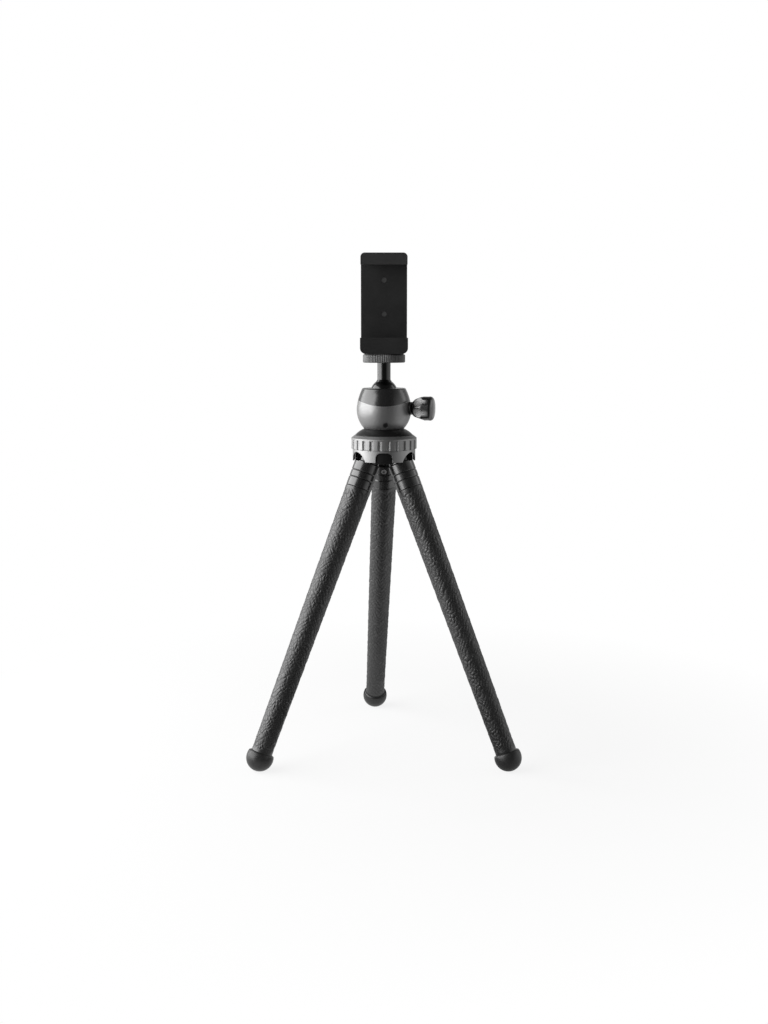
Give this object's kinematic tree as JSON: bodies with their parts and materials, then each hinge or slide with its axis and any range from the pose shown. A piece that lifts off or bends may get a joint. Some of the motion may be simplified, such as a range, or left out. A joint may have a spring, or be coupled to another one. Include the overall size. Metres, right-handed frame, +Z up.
{
  "type": "flexible leg tripod",
  "caption": "Table tripod with bendable rubber-sleeved legs on ball feet, a knurled hub ring, a locking ball head and a spring-loaded phone clamp.",
  "frame": {"origin": "middle of the footprint's box, on the floor", "axes": "+Z up, -Y towards the front between the two front legs, +X to the right, the side that the lock knob is on"},
  "size_m": [0.211, 0.1851, 0.3916],
  "materials": {
    "black_nylon": "satin",
    "root_nylon": "semi-gloss",
    "clamp_plastic": "fine matte",
    "grey_metal": "satin anodised",
    "ring_metal": "satin anodised",
    "gunmetal": "satin metallic paint",
    "gloss_black": "gloss",
    "black_metal": "gloss black",
    "platform_grey": "satin anodised",
    "knob_chrome": "dark polished",
    "steel": "plain",
    "dark_steel": "blackened",
    "brass": "plain",
    "white_nylon": "natural",
    "pad_rubber": "matte",
    "foot_rubber": "semi-matte",
    "leg_rubber": "embossed, semi-gloss",
    "core_aluminium": "soft wire"
  },
  "bodies": {
    "hub": {"leg_carrier": "black_nylon", "hub_sleeve": "grey_metal", "leg_pivot_pins": "steel", "pan_washer": "white_nylon"},
    "lock_ring": {"lock_ring": "ring_metal"},
    "head": {"head_base": "black_nylon", "ball_housing": "gunmetal", "housing_collar": "gloss_black", "base_set_screw": "dark_steel", "centre_bolt": "steel", "seat_spring": "steel", "lock_bush": "black_nylon"},
    "lock_knob": {"lock_knob": "knob_chrome", "lock_screw": "steel"},
    "ball_seat": {"ball_seat": "white_nylon"},
    "ball": {"ball_stem": "black_metal", "camera_platform": "platform_grey", "platform_pad": "pad_rubber", "camera_stud": "steel"},
    "phone_clamp": {"clamp_frame": "clamp_plastic", "clamp_rear_cover": "clamp_plastic", "clamp_guide_screws": "dark_steel", "clamp_springs": "steel", "lower_jaw_pad": "pad_rubber", "clamp_thread_insert": "brass"},
    "upper_jaw": {"clamp_upper_jaw": "clamp_plastic", "upper_jaw_pad": "pad_rubber"},
    "rear_leg_root": {"rear_leg_root": "root_nylon", "rear_leg_core_screw": "dark_steel"},
    "rear_leg_length_1": {"rear_leg_sleeve_1": "leg_rubber", "rear_leg_core_1": "core_aluminium"},
    "rear_leg_length_2": {"rear_leg_sleeve_2": "leg_rubber", "rear_leg_core_2": "core_aluminium"},
    "rear_leg_length_3": {"rear_leg_sleeve_3": "leg_rubber", "rear_leg_core_3": "core_aluminium"},
    "rear_leg_length_4": {"rear_leg_sleeve_4": "leg_rubber", "rear_leg_core_4": "core_aluminium", "rear_foot": "foot_rubber"},
    "left_leg_root": {"left_leg_root": "root_nylon", "left_leg_core_screw": "dark_steel"},
    "left_leg_length_1": {"left_leg_sleeve_1": "leg_rubber", "left_leg_core_1": "core_aluminium"},
    "left_leg_length_2": {"left_leg_sleeve_2": "leg_rubber", "left_leg_core_2": "core_aluminium"},
    "left_leg_length_3": {"left_leg_sleeve_3": "leg_rubber", "left_leg_core_3": "core_aluminium"},
    "left_leg_length_4": {"left_leg_sleeve_4": "leg_rubber", "left_leg_core_4": "core_aluminium", "left_foot": "foot_rubber"},
    "right_leg_root": {"right_leg_root": "root_nylon", "right_leg_core_screw": "dark_steel"},
    "right_leg_length_1": {"right_leg_sleeve_1": "leg_rubber", "right_leg_core_1": "core_aluminium"},
    "right_leg_length_2": {"right_leg_sleeve_2": "leg_rubber", "right_leg_core_2": "core_aluminium"},
    "right_leg_length_3": {"right_leg_sleeve_3": "leg_rubber", "right_leg_core_3": "core_aluminium"},
    "right_leg_length_4": {"right_leg_sleeve_4": "leg_rubber", "right_leg_core_4": "core_aluminium", "right_foot": "foot_rubber"}
  },
  "joints": [
    {"name": "head_pan", "type": "hinge", "parent": "hub", "child": "head", "pos_m": [0, -0.02723, 0.25314], "axis": [0, 0, 1], "continuous": true},
    {"name": "lock_ring_turn", "type": "hinge", "parent": "hub", "child": "lock_ring", "pos_m": [0, -0.02723, 0.24244], "axis": [0, 0, 1], "range_deg": [-60, 0]},
    {"name": "lock_knob_turn", "type": "hinge", "parent": "head", "child": "lock_knob", "pos_m": [0.02144, -0.03297, 0.27394], "axis": [0.9659, -0.2588, 0], "range_deg": [-180, 0]},
    {"name": "ball_swivel", "type": "hinge", "parent": "head", "child": "ball_seat", "pos_m": [0, -0.02723, 0.28564], "axis": [0, 0, 1], "continuous": true},
    {"name": "ball_tilt", "type": "hinge", "parent": "ball_seat", "child": "ball", "pos_m": [0, -0.02723, 0.28564], "axis": [1, 0, 0], "range_deg": [-35, 35]},
    {"name": "clamp_turn", "type": "hinge", "parent": "ball", "child": "phone_clamp", "pos_m": [0, -0.02723, 0.31584], "axis": [0, 0, 1], "continuous": true},
    {"name": "jaw_slide", "type": "slide", "parent": "phone_clamp", "child": "upper_jaw", "axis": [0, 0, 1], "range_m": [0, 0.027], "stiffness_N_per_m": 180, "springref_m": -0.02, "deforming": ["clamp_springs"]},
    {"name": "rear_leg_fold", "type": "hinge", "parent": "hub", "child": "rear_leg_root", "pos_m": [0, -0.01433, 0.23574], "axis": [1, 0, 0], "range_deg": [-23.1, 21.5]},
    {"name": "rear_leg_sway", "type": "hinge", "parent": "rear_leg_root", "child": "rear_leg_length_1", "pos_m": [0, -0.00412, 0.21183], "axis": [0, 0.9197, 0.3927], "range_deg": [-20, 20]},
    {"name": "rear_leg_bend_1", "type": "hinge", "parent": "rear_leg_length_1", "child": "rear_leg_length_2", "pos_m": [-0.00197, 0.01698, 0.1624], "axis": [-0.9993, -0.0144, 0.0337], "range_deg": [-30, 30]},
    {"name": "rear_leg_bend_2", "type": "hinge", "parent": "rear_leg_length_2", "child": "rear_leg_length_3", "pos_m": [-0.00394, 0.03809, 0.11298], "axis": [-0.9993, -0.0144, 0.0337], "range_deg": [-30, 30]},
    {"name": "rear_leg_bend_3", "type": "hinge", "parent": "rear_leg_length_3", "child": "rear_leg_length_4", "pos_m": [-0.00591, 0.05919, 0.06356], "axis": [-0.9993, -0.0144, 0.0337], "range_deg": [-30, 30]},
    {"name": "left_leg_fold", "type": "hinge", "parent": "hub", "child": "left_leg_root", "pos_m": [-0.01117, -0.03368, 0.23574], "axis": [-0.5, 0.866, 0], "range_deg": [-23.2, 21.5]},
    {"name": "left_leg_sway", "type": "hinge", "parent": "left_leg_root", "child": "left_leg_length_1", "pos_m": [-0.02004, -0.0388, 0.21184], "axis": [-0.796, -0.4596, 0.3939], "range_deg": [-20, 20]},
    {"name": "left_leg_bend_1", "type": "hinge", "parent": "left_leg_length_1", "child": "left_leg_length_2", "pos_m": [-0.03839, -0.04939, 0.16242], "axis": [0.5, -0.866, 0], "range_deg": [-30, 30]},
    {"name": "left_leg_bend_2", "type": "hinge", "parent": "left_leg_length_2", "child": "left_leg_length_3", "pos_m": [-0.05673, -0.05998, 0.11299], "axis": [0.5, -0.866, 0], "range_deg": [-30, 30]},
    {"name": "left_leg_bend_3", "type": "hinge", "parent": "left_leg_length_3", "child": "left_leg_length_4", "pos_m": [-0.07508, -0.07057, 0.06356], "axis": [0.5, -0.866, 0], "range_deg": [-30, 30]},
    {"name": "right_leg_fold", "type": "hinge", "parent": "hub", "child": "right_leg_root", "pos_m": [0.01117, -0.03368, 0.23574], "axis": [-0.5, -0.866, 0], "range_deg": [-23.2, 21.5]},
    {"name": "right_leg_sway", "type": "hinge", "parent": "right_leg_root", "child": "right_leg_length_1", "pos_m": [0.02004, -0.0388, 0.21184], "axis": [0.796, -0.4596, 0.3939], "range_deg": [-20, 20]},
    {"name": "right_leg_bend_1", "type": "hinge", "parent": "right_leg_length_1", "child": "right_leg_length_2", "pos_m": [0.03839, -0.04939, 0.16242], "axis": [0.5, 0.866, 0], "range_deg": [-30, 30]},
    {"name": "right_leg_bend_2", "type": "hinge", "parent": "right_leg_length_2", "child": "right_leg_length_3", "pos_m": [0.05673, -0.05998, 0.11299], "axis": [0.5, 0.866, 0], "range_deg": [-30, 30]},
    {"name": "right_leg_bend_3", "type": "hinge", "parent": "right_leg_length_3", "child": "right_leg_length_4", "pos_m": [0.07508, -0.07057, 0.06356], "axis": [0.5, 0.866, 0], "range_deg": [-30, 30]}
  ]
}
